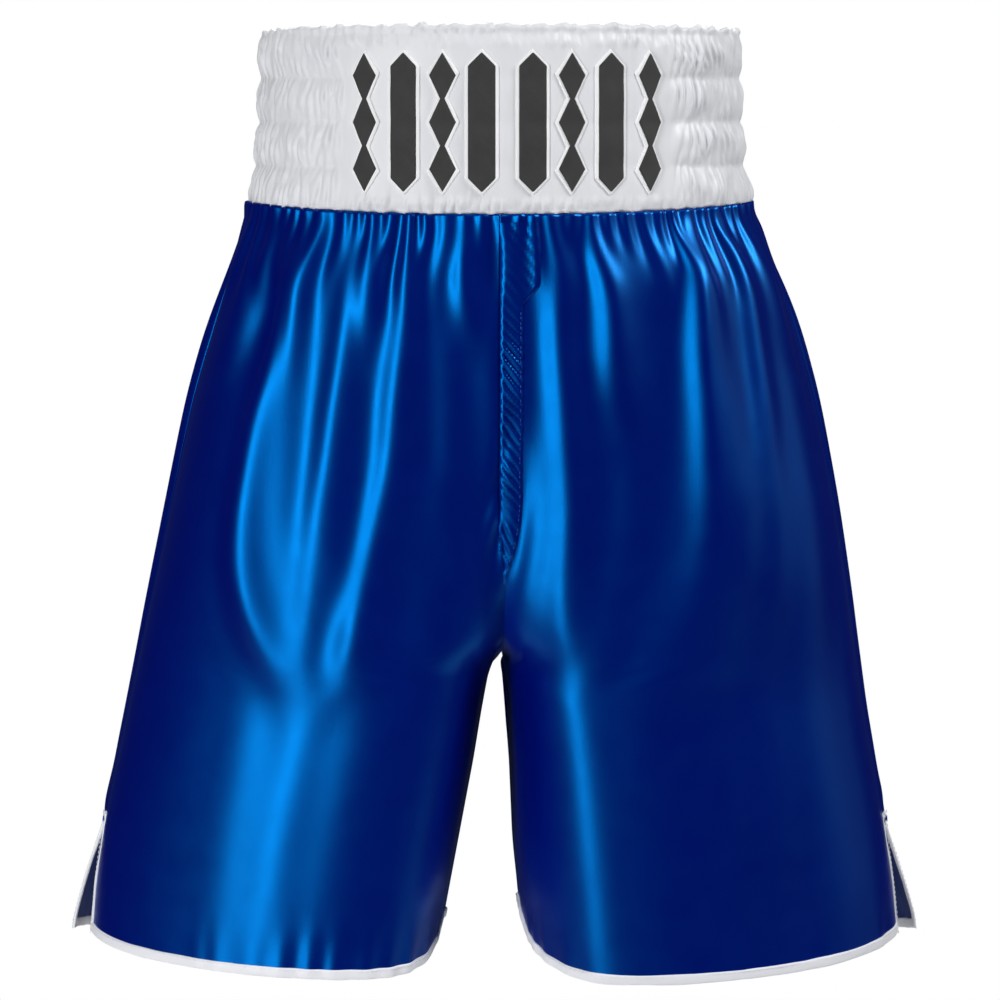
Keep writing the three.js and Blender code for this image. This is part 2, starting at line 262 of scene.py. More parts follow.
class Cloth:
    """The four leg panels as a grid of points joined by links, sewn along the rise, inseams and side seams,
    gathered into the waistband and hung on the body. folds is the height of the cut's fullness, which sets
    how much wider each row of cloth is than the body."""

    SHEAR = 0.4
    WEIGHT = 4e-5
    DAMPING = 0.9
    PASSES = 6
    FRONT_SET, BACK_SET = 0.06, 0.01   # how firmly folds are pressed in: the back panels hang almost freely
    FLAP_HOLD = 0.25                   # how firmly the cloth beside the vents is held to the body
    SLACK = 1.004                      # how far the cloth may stretch down its length

    def __init__(self, columns, rows, folds):
        self.columns, self.rows = columns, rows
        self.body = smooth_body(columns, rows)
        height = self.body[2, [FRONT_LEFT, FRONT_RIGHT]].mean(axis=0)
        self.crotch = int(np.argmin(np.abs(height[0] + CROTCH)))
        self.vent = int(np.argmin(np.abs(height[-1] + VENT)))
        self.loose = (1 - calm(columns, rows)).astype(np.float32)
        normal = grid_normals(self.body) * (SIDE * FACE)[:, None, None]
        normal *= np.sign((normal[1] * FACE[:, None, None]).mean())
        normal[2] = 0
        self.normal = unit(normal)
        self.across = unit(np.gradient(self.body, axis=2))
        self.folded = self.body + self.normal * folds
        press = self.FRONT_SET * (1 - IS_BACK) + self.BACK_SET * IS_BACK
        self.press = press[:, None, None].astype(np.float32)
        self.fullness = self.widening()
        wide, tall = columns // 6, rows + 1 - self.vent
        beside_vent = smooth_step(np.linspace(0, 1, wide))[:, None]
        self.flap = (self.FLAP_HOLD * beside_vent * np.linspace(0, 1, tall)).astype(np.float32)
        self.flap_area = (..., slice(-wide, None), slice(self.vent, None))
        a, b = slice(0, -1), slice(1, None)
        self.links = [
            (self.rest((a, ALL), (b, ALL)), (1, 0), False, 1.0),
            (self.rest((ALL, a), (ALL, b)), (0, 1), False, 1.0),
            (self.rest((a, a), (b, b)), (1, 1), False, self.SHEAR),
            (self.rest((b, a), (a, b)), (1, 1), True, self.SHEAR),
        ]

    def widening(self):
        """how many times wider than the body the folded cloth is at each point"""
        folded, plain = (np.sqrt((np.diff(grid, axis=2) ** 2).sum(0)) for grid in (self.folded, self.body))
        ratio = folded / plain
        at_points = ratio[:, :1], (ratio[:, 1:] + ratio[:, :-1]) / 2, ratio[:, -1:]
        return np.maximum(soften(np.concatenate(at_points, axis=1), 3), 1)

    def rest(self, s, t):
        """rest lengths between two grid slices: the body's distances, widened across by the fullness"""
        s, t = (ALL,) + s, (ALL,) + t
        d = self.body[(ALL,) + t] - self.body[(ALL,) + s]
        along = (self.across[(ALL,) + s] + self.across[(ALL,) + t]) / 2
        part = (d * along).sum(0)
        wider = (self.fullness[s] + self.fullness[t]) / 2
        return np.sqrt((wider * part) ** 2 + np.clip((d * d).sum(0) - part ** 2, 0, None)).astype(np.float32)

    def outward(self, P):
        """unit normals of the hung cloth, pointing off the body"""
        normal = grid_normals(P)
        return normal * np.sign((normal * self.normal).sum(0))

    def sew(self, P):
        c, v = self.crotch, self.vent
        for a, b in ((0, 3), (1, 2)):
            rise = (P[:, a, 0, :c + 1] + P[:, b, 0, :c + 1]) / 2
            P[:, a, 0, :c + 1] = rise
            P[:, b, 0, :c + 1] = rise
        for a, b in ((0, 1), (3, 2)):
            for column, rows in ((0, slice(c, None)), (-1, slice(0, v + 1))):
                seam = (P[:, a, column, rows] + P[:, b, column, rows]) / 2
                P[:, a, column, rows] = seam
                P[:, b, column, rows] = seam
        P[:, :, 0, c] = P[:, :, 0, c].mean(axis=1)[:, None]

    def keep_near_body(self, P):
        """hold points between two copies of the body, one a little smaller and one a little larger"""
        z = np.clip(P[2], -LENGTH, -BAND)
        side = SIDE[:, None, None]
        centre, width, depth, _, power, lean = leg_section(z, IS_BACK[:, None, None], side)
        P[self.flap_area] += self.flap * (self.body[self.flap_area] - P[self.flap_area])
        x = P[0] * side + lean * np.minimum((P[1] / depth) ** 2, 1)
        off_inseam = 1 - np.clip((centre - x) / width, 0, 1) ** 4
        free = off_inseam * (0.15 + 0.85 * off_rise(P[0], P[2])) * self.loose
        inward, outward = body_room(share(z, -BAND, -LENGTH))
        beside, ahead = np.abs(x - centre), np.abs(P[1])
        small, large = (
            ((beside / (width + more)) ** power + (ahead / (depth + more)) ** power) ** (1 / power)
            for more in (-(inward * free + 1 * MM), outward * free + 1.5 * MM))
        s = np.where(small < 1, 1 / np.maximum(small, 0.2), np.where(large > 1, 1 / large, 1))
        P[1] *= s
        P[0] = side * (centre + (x - centre) * s - lean * np.minimum((P[1] / depth) ** 2, 1))

    def pull(self, P, length, step, mirror, stiffness):
        """move both ends of every link towards its rest length, in sets that share no point"""
        for from_u, to_u, u in self.sets(self.columns, step[0]):
            for from_v, to_v, v in self.sets(self.rows, step[1]):
                a, b = (from_u, to_u) if not mirror else (to_u, from_u)
                a, b = (ALL, ALL, a, from_v), (ALL, ALL, b, to_v)
                d = P[b] - P[a]
                n = np.sqrt((d * d).sum(0)) + np.float32(1e-9)
                d *= (n - length[:, u, v]) / n * np.float32(0.5 * stiffness)
                P[a] += d
                P[b] -= d

    def sets(self, last, step):
        """for every other link along one axis: its points, the points a step further on, and the links"""
        if not step:
            return [(ALL, ALL, ALL)]
        return [(slice(k, last, 2), slice(k + 1, last + 1, 2), slice(k, None, 2)) for k in (0, 1)]

    def bend(self, P, k):
        before, here, after = slice(0, -2), slice(1, -1), slice(2, None)
        for grid in (P, P.swapaxes(2, 3)):
            c = ((grid[:, :, before] + grid[:, :, after]) / 2 - grid[:, :, here]) * np.float32(k)
            grid[:, :, here] += c
            grid[:, :, before] -= c / 2
            grid[:, :, after] -= c / 2

    def hang(self, P, steps, stiffness):
        """step the cloth until it hangs. Its top row stays sewn to the waistband, and no point hangs further
        from its own top point than the cloth is long."""
        P = P.astype(np.float32)
        top = P[..., :1].copy()
        reach = np.sqrt(((self.body - self.body[..., :1]) ** 2).sum(0)).astype(np.float32)
        reach = reach * np.float32(self.SLACK) + np.float32(1.5 * MM)
        old = P.copy()
        for _ in range(steps):
            speed = (P - old) * np.float32(self.DAMPING)
            old = P.copy()
            P += speed
            P[2] -= np.float32(self.WEIGHT)
            P += self.press * (self.folded - P)
            for turn in range(self.PASSES):
                for link in self.links:
                    self.pull(P, *link)
                self.bend(P, stiffness)
                d = P - top
                d *= np.minimum(1, reach / (np.sqrt((d * d).sum(0)) + np.float32(1e-9)))
                P = top + d
                self.sew(P)
                if turn % 2:
                    self.keep_near_body(P)
                P[..., :1] = top
        return P.astype(float)


def refine(P):
    """the same surface on a grid with twice the points each way"""
    for axis in (2, 3):
        Q = np.moveaxis(P, axis, -1)
        Q = np.concatenate([2 * Q[..., :1] - Q[..., 1:2], Q, 2 * Q[..., -1:] - Q[..., -2:-1]], axis=-1)
        out = np.zeros(Q.shape[:-1] + (2 * P.shape[axis] - 1,))
        out[..., ::2] = Q[..., 1:-1]
        out[..., 1::2] = (-Q[..., :-3] + 9 * Q[..., 1:-2] + 9 * Q[..., 2:-1] - Q[..., 3:]) / 16
        P = np.moveaxis(out, -1, axis)
    return P


# ---------------------------------------------------------------- the cut's fullness: gathers and long folds
def wander(rng, count, knots):
    """a smooth random curve of count points"""
    c = rng.standard_normal(knots + 3)
    x = np.linspace(0, knots, count)
    i = np.minimum(x.astype(int), knots - 1)
    f = x - i
    w = ((1 - f) ** 3, 3 * f ** 3 - 6 * f ** 2 + 4, -3 * f ** 3 + 3 * f ** 2 + 3 * f + 1, f ** 3)
    return sum(a * c[i + k] for k, a in enumerate(w)) / 6


def waves(rng, u, profile, count, height, jitter):
    """count uneven gathers across the panel, with their height down the panel given by profile"""
    phase = 2 * np.pi * count * u + 3 * jitter * wander(rng, u.size, max(4, count))
    return height * np.cos(phase)[:, None] * profile[None, :]


def gathers(rng, u, v, count, height, length):
    """count gathers drawn together at the waistband, each with a length and a lean of its own"""
    phase = 2 * np.pi * count * u + 1.6 * wander(rng, u.size, count)
    run = length * (1 + 0.45 * wander(rng, u.size, count))[:, None]
    lean = 9 * wander(rng, u.size, count // 2)[:, None] * v / (10 * length)
    size = (1 + 0.3 * wander(rng, u.size, count))[:, None]
    return height * size * np.cos(phase[:, None] + lean) * np.exp(-(v / run.clip(length / 3)) ** 2)


def long_fold(u, v, path, size, steep=1.0):
    """a rounded fold along path, points of (share across, share down, share of its size, half width as a
    share of the panel). steep is how much narrower its outer flank is than its inner one."""
    rise, fade = 0.10, 0.20
    reach = np.linspace(-0.3, 1.3, 321)
    down = [point[1] for point in path]
    smooth = lambda values: np.interp(v, reach, blur(np.interp(reach, down, values), 3))
    across, strength, width = map(smooth, np.array(path).T[[0, 2, 3]])
    start = smooth_step((v - down[0]) / rise) if down[0] > 0 else 1
    off = u[:, None] - across
    width = width * np.where(off > 0, 1 / steep, steep)
    return size * start * smooth_step((down[-1] - v) / fade) * strength * np.exp(-(off / width) ** 2)


PAST_HEM = 1.3
# Long folds of the front panels: each a path, a height and, if uneven, the steepness of its outer flank.
FOLDS = {
    FRONT_RIGHT: (
        (((0.58, 0.0, 1.2, 0.045), (0.60, 0.12, 1.3, 0.045), (0.615, 0.20, 1.3, 0.045),
          (0.635, 0.35, 1.05, 0.045), (0.655, 0.46, 1, 0.045), (0.655, 0.52, 1, 0.047),
          (0.62, 0.58, 0.9, 0.050), (0.575, 0.64, 0.7, 0.055), (0.55, 0.74, 0, 0.06)), 5.4 * MM, 1.42),
        (((0.40, 0.0, 1, 0.045), (0.42, 0.20, 1, 0.045), (0.455, 0.35, 1, 0.045), (0.50, 0.50, 1, 0.045),
          (0.54, 0.60, 0.7, 0.042), (0.54, 0.68, 0, 0.04)), 3.0 * MM, 1.5),
        (((0.24, 0.0, 0.6, 0.045), (0.26, 0.12, 0.7, 0.045), (0.275, 0.20, 0.7, 0.045),
          (0.30, 0.35, 0.75, 0.045), (0.39, 0.50, 1, 0.045), (0.455, 0.58, 1, 0.047),
          (0.50, 0.64, 0.7, 0.05), (0.52, 0.72, 0, 0.05)), 4.8 * MM, 1.4),
        (((0.66, 0.04, 0.3, 0.06), (0.67, 0.12, 1, 0.07), (0.69, 0.22, 1, 0.07), (0.70, 0.32, 0, 0.06)),
         -11 * MM),
        (((0.58, 0.64, 0, 0.10), (0.58, 0.80, 1, 0.10), (0.60, PAST_HEM, 1, 0.10)), 1.4 * MM),
        (((0.12, 0.0, 1, 0.03), (0.09, 0.14, 1, 0.035), (0.06, 0.24, 0, 0.03)), 5 * MM),
        (((0.36, 0.0, 1, 0.030), (0.355, 0.14, 1, 0.034), (0.35, 0.25, 0, 0.028)), 4.5 * MM, 1.2),
        (((0.86, 0.0, 1, 0.03), (0.89, 0.20, 1, 0.04)), 3 * MM),
        (((0.20, 0.30, 1, 0.05), (0.19, 0.44, 1, 0.06), (0.21, 0.62, 0, 0.06)), 2 * MM),
    ),
    FRONT_LEFT: (
        (((0.15, 0.0, 1, 0.040), (0.15, 0.16, 1.2, 0.042), (0.18, 0.32, 1.2, 0.045), (0.21, 0.48, 1, 0.050),
          (0.27, 0.58, 0.6, 0.055), (0.30, 0.68, 0.3, 0.070), (0.33, 0.85, 0.3, 0.07),
          (0.33, PAST_HEM, 0.3, 0.07)), 3.4 * MM, 0.85),
        (((0.01, 0.24, 0, 0.05), (0.01, 0.36, 1, 0.06), (0.03, 0.50, 1, 0.06), (0.05, 0.62, 0, 0.06)),
         -5 * MM),
        (((0.29, 0.0, 1, 0.040), (0.29, 0.12, 1, 0.050), (0.29, 0.22, 1, 0.050), (0.31, 0.36, 0, 0.045)),
         7 * MM, 1.1),
        (((0.56, 0.0, 1, 0.040), (0.52, 0.10, 1, 0.045), (0.51, 0.20, 1, 0.055), (0.52, 0.33, 0.9, 0.063),
          (0.53, 0.48, 0.5, 0.07), (0.53, 0.62, 0.15, 0.08), (0.53, 0.78, 0, 0.08)), 10 * MM, 0.8),
        (((0.43, 0.0, 1, 0.028), (0.42, 0.16, 1, 0.030)), 3 * MM),
        (((0.70, 0.0, 1, 0.034), (0.66, 0.26, 0.6, 0.036), (0.60, 0.48, 0, 0.04)), 4 * MM, 0.8),
        (((0.81, 0.0, 1, 0.04), (0.83, 0.20, 1, 0.04)), 3 * MM),
        (((0.93, 0.0, 1, 0.03), (0.95, 0.16, 1, 0.03)), 3 * MM),
    ),
}
# Areas of the front panels that hang smooth: middle across and down, and how far they reach each way.
SMOOTH_AREAS = {
    FRONT_RIGHT: ((0.96, 0.62, 0.22, 0.42), (0.10, 0.80, 0.18, 0.28), (0.11, 0.48, 0.12, 0.22),
                  (0.82, 0.84, 0.14, 0.20)),
    FRONT_LEFT: ((0.88, 0.66, 0.24, 0.44), (0.05, 0.84, 0.09, 0.26), (0.05, 0.50, 0.07, 0.20),
                 (0.52, 0.92, 0.10, 0.20), (0.70, 0.84, 0.16, 0.28)),
}


def calm(columns, rows):
    """1 where the cloth is held close to the smooth body, 0 where it folds freely"""
    u, v = np.linspace(0, 1, columns + 1)[:, None], np.linspace(0, 1, rows + 1)
    field = np.zeros((4, columns + 1, rows + 1))
    for p, areas in SMOOTH_AREAS.items():
        for across, down, wide, tall in areas:
            away = np.hypot((u - across) / wide, (v - down) / tall)
            field[p] = np.maximum(field[p], 0.75 * smooth_step((1.25 - away) / 0.5))
    return field


def fold_heights(columns, rows, gathered):
    rng = np.random.default_rng(SEED)
    u = np.linspace(0, 1, columns + 1)
    v = np.linspace(0, 1, rows + 1)
    height = np.zeros((4, u.size, v.size))
    for p in range(4):
        if p in FOLDS:
            for fold in FOLDS[p]:
                height[p] += long_fold(u, v, *fold)
            height[p] -= 0.8 * height[p].mean(axis=0)
        else:
            height[p] += waves(rng, u, smooth_step(v / 0.2) * (1 - v) ** 0.7, 5, 9 * MM, 0.8)
            height[p] += waves(rng, u, smooth_step(v / 0.3), 3, 4 * MM, 0.8)
        height[p] *= smooth_step(v / 0.10)
        height[p] += gathers(rng, u, v, 11, 1.7 * MM, 0.12) * smooth_step(v / 0.08)
        height[p] += waves(rng, u, smooth_step(v / 0.2) * (1 - 0.6 * v), 7, 0.5 * MM, 1.0)
    for p in range(4) if gathered else ():
        height[p] += gathers(rng, u, v, 19, 1.2 * MM, 0.055)
    return height


COARSE, FINE = (56, 54), (112, 108)   # columns and rows of each panel's grid
COARSE_STEPS, FINE_STEPS = 160, 140
COARSE_BEND, FINE_BEND = 0.07, 0.06


def hang_legs():
    """hang the cloth on a coarse grid, then add the gathers and settle it on a fine one"""
    coarse = Cloth(*COARSE, fold_heights(*COARSE, False))
    P = coarse.folded.copy()
    P[..., 0] = coarse.body[..., 0]
    coarse.sew(P)
    P = coarse.hang(P, COARSE_STEPS, COARSE_BEND)
    gathered = fold_heights(*FINE, True)
    fine = Cloth(*FINE, gathered)
    P = refine(P) + fine.normal * (gathered - fold_heights(*FINE, False))
    P[..., 0] = fine.folded[..., 0]
    fine.sew(P)
    return fine, fine.hang(P, FINE_STEPS, FINE_BEND)


def pucker_hem(cloth, P):
    """small puckers where the binding draws the hem in"""
    rng = np.random.default_rng(SEED + 1)
    v = np.linspace(0, 1, cloth.rows + 1)
    u = np.linspace(0, 1, cloth.columns + 1)
    normal = cloth.outward(P)
    near_hem = np.exp(-((1 - v) / 0.045) ** 2)
    for p in range(4):
        lift = waves(rng, u, near_hem, 17, 0.7 * MM, 1.0) * smooth_step(0.5 + wander(rng, u.size, 7))[:, None]
        P[:, p] += normal[:, p] * lift
    cloth.sew(P)
    return P


# ---------------------------------------------------------------- mesh helpers
def finish_piece(piece, material, replaces=(), inside=None):
    piece.data.materials.append(material)
    if inside:
        piece.data.materials.append(inside)
    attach(piece, "root")
    if replaces:
        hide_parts(*replaces)
    return piece


def mesh_piece(name, points, faces, uv=None):
    """a smooth-shaded mesh object from points (n, 3), faces and one texture point for each vertex"""
    mesh = bpy.data.meshes.new(name)
    mesh.from_pydata(np.asarray(points, float).tolist(), [], [list(map(int, f)) for f in faces])
    mesh.update()
    mesh.polygons.foreach_set("use_smooth", [True] * len(mesh.polygons))
    if uv is not None:
        loops = np.empty(len(mesh.loops), int)
        mesh.loops.foreach_get("vertex_index", loops)
        layer = mesh.uv_layers.new(name="cloth")
        layer.data.foreach_set("uv", np.asarray(uv, float)[loops].ravel())
    piece = bpy.data.objects.new(name, mesh)
    bpy.context.scene.collection.objects.link(piece)
    return piece


def grid_piece(name, grid, uv):
    """a sheet from points (n, m, 3) and texture points (n, m, 2)"""
    index = np.arange(grid.shape[0] * grid.shape[1]).reshape(grid.shape[:2])
    faces = np.stack([index[:-1, :-1], index[1:, :-1], index[1:, 1:], index[:-1, 1:]], axis=-1)
    return mesh_piece(name, grid.reshape(-1, 3), faces.reshape(-1, 4), uv.reshape(-1, 2))


def tube_faces(rings, corners, first=0):
    """the quads of a tube of rings of corners, and its two end caps, counted from its first point"""
    index = first + np.arange(rings * corners).reshape(rings, corners)
    after = np.roll(index, -1, axis=1)
    sides = np.stack([index[:-1], index[1:], after[1:], after[:-1]], axis=-1)
    return [*sides.reshape(-1, 4).tolist(), index[0].tolist(), index[-1, ::-1].tolist()]


def thicken(piece, thickness, offset, inside=0):
    thick = piece.modifiers.new("thick", "SOLIDIFY")
    thick.thickness, thick.offset, thick.material_offset = thickness, offset, inside


def length_steps(points, axis=0):
    """distances between neighbouring points (..., xyz) along an axis"""
    return np.linalg.norm(np.diff(points, axis=axis), axis=-1)


def resample(line, pitch):
    """points (k, 3) at an even pitch along a line, and how far along each is"""
    reach = running(length_steps(line))
    at = np.linspace(0, reach[-1], max(3, int(round(reach[-1] / pitch)) + 1))
    return along(line, line, at), at


def along(line, values, at):
    """values given on a line's points, read at distances along it"""
    reach = running(length_steps(line))
    return np.stack([np.interp(at, reach, column) for column in values.T], axis=1)


# ---------------------------------------------------------------- materials
class Look:
    """a procedural material whose colour drifts between two values, over flat cloth in metres or in space"""

    def __init__(self, name, low, high, drift, detail=3, on_cloth=True):
        self.material = bpy.data.materials.new(name)
        self.material.use_nodes = True
        self.tree = self.material.node_tree
        self.shader = self.tree.nodes["Principled BSDF"]
        self.place = self.cloth(1, 1) if on_cloth else self.node("ShaderNodeTexCoord").outputs["Object"]
        colour = self.node("ShaderNodeMix", data_type="RGBA")
        colour.inputs[6].default_value = (*low, 1)
        colour.inputs[7].default_value = (*high, 1)
        self.join(self.noise(drift, detail), colour.inputs[0])
        self.join(colour.outputs[2], self.shader.inputs["Base Color"])

    def node(self, kind, **values):
        made = self.tree.nodes.new(kind)
        for key, value in values.items():
            if key in made.inputs:
                made.inputs[key].default_value = value
            else:
                setattr(made, key, value)
        return made

    def join(self, source, target):
        self.tree.links.new(source, target)

    def cloth(self, across, down):
        """places on the flat cloth in metres, scaled"""
        uv = self.node("ShaderNodeUVMap", uv_map="cloth")
        mapping = self.node("ShaderNodeMapping", Scale=(across, down, 1))
        self.join(uv.outputs["UV"], mapping.inputs["Vector"])
        return mapping.outputs["Vector"]

    def noise(self, scale, detail, place=None):
        noise = self.node("ShaderNodeTexNoise", Scale=scale, Detail=detail)
        self.join(self.place if place is None else place, noise.inputs["Vector"])
        return noise.outputs["Fac"]

    def bands(self, direction, scale, place=None, **values):
        wave = self.node("ShaderNodeTexWave", bands_direction=direction, Scale=scale, **values)
        self.join(self.cloth(math.pi, math.pi) if place is None else place, wave.inputs["Vector"])
        return wave.outputs["Fac"]

    def weave(self, pitch):
        """the raised threads of a woven cloth"""
        threads = self.node("ShaderNodeMath", operation="MULTIPLY")
        for direction, socket in zip("XY", threads.inputs):
            self.join(self.bands(direction, 0.1 / pitch, Distortion=1.2, Detail=1.0), socket)
        return threads.outputs[0]

    def set(self, **values):
        for key, value in values.items():
            self.shader.inputs[key.replace("_", " ")].default_value = value

    def rough(self, low, high, scale):
        spread = self.node("ShaderNodeMapRange", **{"To Min": low, "To Max": high})
        self.join(self.noise(scale, 4), spread.inputs["Value"])
        self.join(spread.outputs["Result"], self.shader.inputs["Roughness"])

    def bump(self, *layers):
        """stack bump layers of (height, strength, depth) into the shader's normal"""
        normal = None
        for height, strength, depth in layers:
            bump = self.node("ShaderNodeBump", Strength=strength, Distance=depth)
            self.join(height, bump.inputs["Height"])
            if normal is not None:
                self.join(normal, bump.inputs["Normal"])
            normal = bump.outputs["Normal"]
        self.join(normal, self.shader.inputs["Normal"])
        return self.material


def satin(name, low, high, rough, slub=0.12, ior=1.5, tint=(1, 1, 1)):
    """satin: long floating threads down the cloth, so its fine streaks run one way"""
    look = Look(name, low, high, 14)
    look.set(IOR=ior, Specular_Tint=(*tint, 1))
    look.rough(rough - 0.04, rough + 0.05, 60)
    streaks = look.noise(1400, 2, look.cloth(1, 0.06))
    return look.bump((streaks, slub, 0.25 * MM), (look.weave(0.35 * MM), slub * 0.6, 0.08 * MM))


def twill(name, low, high, rough, pitch):
    """tackle twill: a matt cloth with fine diagonal ribs"""
    look = Look(name, low, high, 90, detail=6)
    look.set(Sheen_Weight=0.15)
    look.rough(rough - 0.06, rough + 0.06, 240)
    return look.bump((look.bands("DIAGONAL", 0.1 / pitch, Distortion=0.6), 0.5, 0.15 * MM))


def thread(name, low, high):
    """twisted sewing thread"""
    look = Look(name, low, high, 300)
    look.rough(0.38, 0.55, 500)
    return look.bump((look.bands("DIAGONAL", 160), 0.6, 0.1 * MM))


def braid(name, low, high):
    """braided elastic: white cords running round the band, crossed by fine yarn"""
    look = Look(name, low, high, 120, on_cloth=False)
    look.rough(0.6, 0.8, 300)
    return look.bump((look.bands("Z", 160, look.place), 0.6, 0.3 * MM))


blue_satin = satin("satin_blue", (0, 0.0005, 0.12), (0, 0.002, 0.15), 0.34, ior=2.4, tint=(0, 0.32, 0.95))
blue_inside = satin("satin_blue_inside", (0, 0.006, 0.10), (0, 0.01, 0.14), 0.55, ior=1.6, tint=(0.1, 0.4, 1))
white_satin = satin("satin_white", (0.70, 0.71, 0.75), (0.78, 0.79, 0.82), 0.45, slub=0.2)
white_tape = satin("binding_white", (0.78, 0.79, 0.84), (0.86, 0.87, 0.91), 0.40, slub=0.25)
label_satin = satin("label_white", (0.80, 0.80, 0.80), (0.86, 0.86, 0.85), 0.5, slub=0.35)
black_twill = twill("twill_black", (0.012, 0.012, 0.013), (0.032, 0.032, 0.034), 0.75, 0.7 * MM)
white_twill = twill("twill_white", (0.86, 0.87, 0.88), (0.92, 0.92, 0.93), 0.65, 0.7 * MM)
blue_thread = thread("thread_blue", (0.0, 0.05, 0.36), (0.0, 0.08, 0.50))
white_thread = thread("thread_white", (0.72, 0.73, 0.77), (0.88, 0.88, 0.90))
elastic_braid = braid("elastic", (0.62, 0.62, 0.60), (0.74, 0.74, 0.72))


# ---------------------------------------------------------------- legs
def flat_coordinates(cloth):
    """texture points of each panel: distance across and down the flat cloth, in metres"""
    return np.stack([running(cloth.links[0][0], 1), running(cloth.links[1][0], 2)], axis=-1)


def lap_side_seams(cloth, P):
    """the front panels reach a little over the back ones along the side seams"""
    lap, lift, ends_above_vent, fade = 1.8 * MM, 0.5 * MM, 5, 4
    reach = 1 - smooth_step((np.arange(cloth.rows + 1) - cloth.vent + ends_above_vent) / fade)
    P = P.copy()
    for p in (FRONT_LEFT, FRONT_RIGHT):
        P[:, p, -1] += (lap * unit(P[:, p, -1] - P[:, p, -2]) + lift * cloth.normal[:, p, -1]) * reach
    return P


def facing_out(p):
    """the order of a panel's columns that turns its faces outwards"""
    return slice(None, None, int(SIDE[p] * FACE[p]))


def build_panels(cloth, P):
    texture = flat_coordinates(cloth)
    pieces = []
    P = lap_side_seams(cloth, P)
    for p, name in enumerate(PANELS):
        grid = np.moveaxis(P[:, p], 0, -1)
        piece = grid_piece(name + "_cloth", grid[facing_out(p)], texture[p][facing_out(p)])
        finish_piece(piece, blue_satin, (name + "_panel",), inside=blue_inside)
        smooth = piece.modifiers.new("smooth", "SUBSURF")
        smooth.levels = smooth.render_levels = 1
        thicken(piece, CLOTH, -1, inside=1)
        pieces.append(piece)
    return pieces


cloth, P = hang_legs()
P = pucker_hem(cloth, P)
panels = build_panels(cloth, P)


# ---------------------------------------------------------------- waistband
LINING_POINTS = node_points("waistband_lining")
WALL = TOP_WIDTH - np.abs(LINING_POINTS[np.abs(LINING_POINTS[:, 1]) < 2 * MM, 0]).min()
CHANNELS = 4
HEADER = 4 * MM
CHANNEL = 25.5 * MM
BULGE = 1.8 * MM
SLIM = 1.2 * MM                   # how far the valleys between puckers lie inside the CAD's wall
BAND_COLUMNS, BAND_ROWS = 1200, 72
MOTIFS = [f"motif_{k}" for k in range(1, 9)]
BORDERS = [f"border_{k}" for k in range(1, 9)]


def band_ellipse(drop):
    """half width and half depth of the band at a share of its height"""
    return TOP_WIDTH + (LOW_WIDTH - TOP_WIDTH) * drop ** 3, TOP_DEPTH + (LOW_DEPTH - TOP_DEPTH) * drop


def ellipse_angles():
    """angle of each column, evenly spaced around the band from the wearer's left, and the way around"""
    fine = np.linspace(0, 2 * np.pi, 7201)
    a, b = band_ellipse(0.5)
    reach = running(np.hypot(np.diff(a * np.cos(fine)), np.diff(b * np.sin(fine))))
    return np.interp(np.linspace(0, reach[-1], BAND_COLUMNS + 1), reach, fine), reach[-1]


def noise_field(rng, n, m, length, height, pitch, run, slope):
    """smooth noise on a closed sheet: streaks a pitch apart and run long, leaning by slope"""
    across = np.fft.fftfreq(n, length / n)[:, None]
    down = np.fft.fftfreq(m, height / m)[None, :]
    keep = np.exp(-((np.abs(across) * pitch - 1) * 1.6) ** 2) * np.exp(-((down - slope * across) * run) ** 2)
    field = np.fft.ifft2(np.fft.fft2(rng.standard_normal((n, m))) * keep).real
    return field / field.std()


def puckers(rng, n, m, length, height, pitch, run, slope):
    """rounded ridges with sharp valleys between them, about a pitch apart, from 0 up to about 2"""
    return np.sqrt(noise_field(rng, n, m, length, height, 2 * pitch, run, slope) ** 2 + 0.02)


def motif_zone(x, y, z):
    """1 where the applied motifs hold the front of the band flat, 0 away from them"""
    low = np.min([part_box(name)[0] for name in BORDERS], axis=0)
    high = np.max([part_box(name)[1] for name in BORDERS], axis=0)
    beside = smooth_step(1 - np.maximum(0, np.maximum(low[0] - x, x - high[0])) / (7 * MM))
    above = smooth_step(1 - np.maximum(0, np.maximum(low[2] - z, z - high[2])) / (5 * MM))
    return beside * above * (y < 0)


